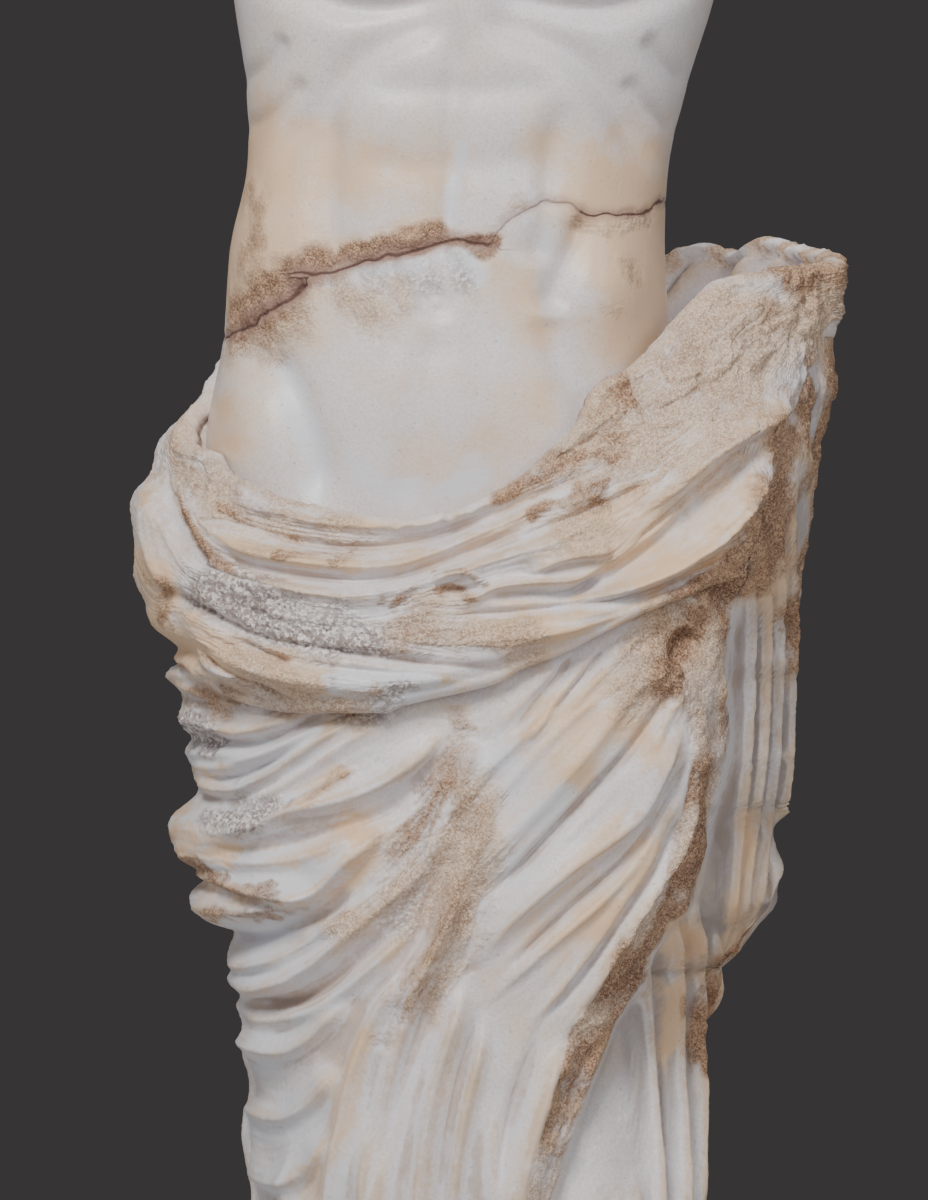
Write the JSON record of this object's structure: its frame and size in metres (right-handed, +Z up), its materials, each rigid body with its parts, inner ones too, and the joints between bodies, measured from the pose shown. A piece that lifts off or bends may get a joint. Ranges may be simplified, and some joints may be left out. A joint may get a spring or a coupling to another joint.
{
  "type": "draped torso statue",
  "caption": "Standing marble male figure without head or arms, a thick twisted mantle round its hips and folds to a low base.",
  "frame": {"origin": "on the underside of the base, below the figure's upright axis", "axes": "+Z up along the figure, -Y the way the figure faces, +X towards its left hand side"},
  "size_m": [0.4841, 0.4269, 1.6545],
  "materials": {
    "weathered_marble": "weathered, satin"
  },
  "bodies": {
    "root": {"draped_figure": "weathered_marble"}
  },
  "joints": []
}
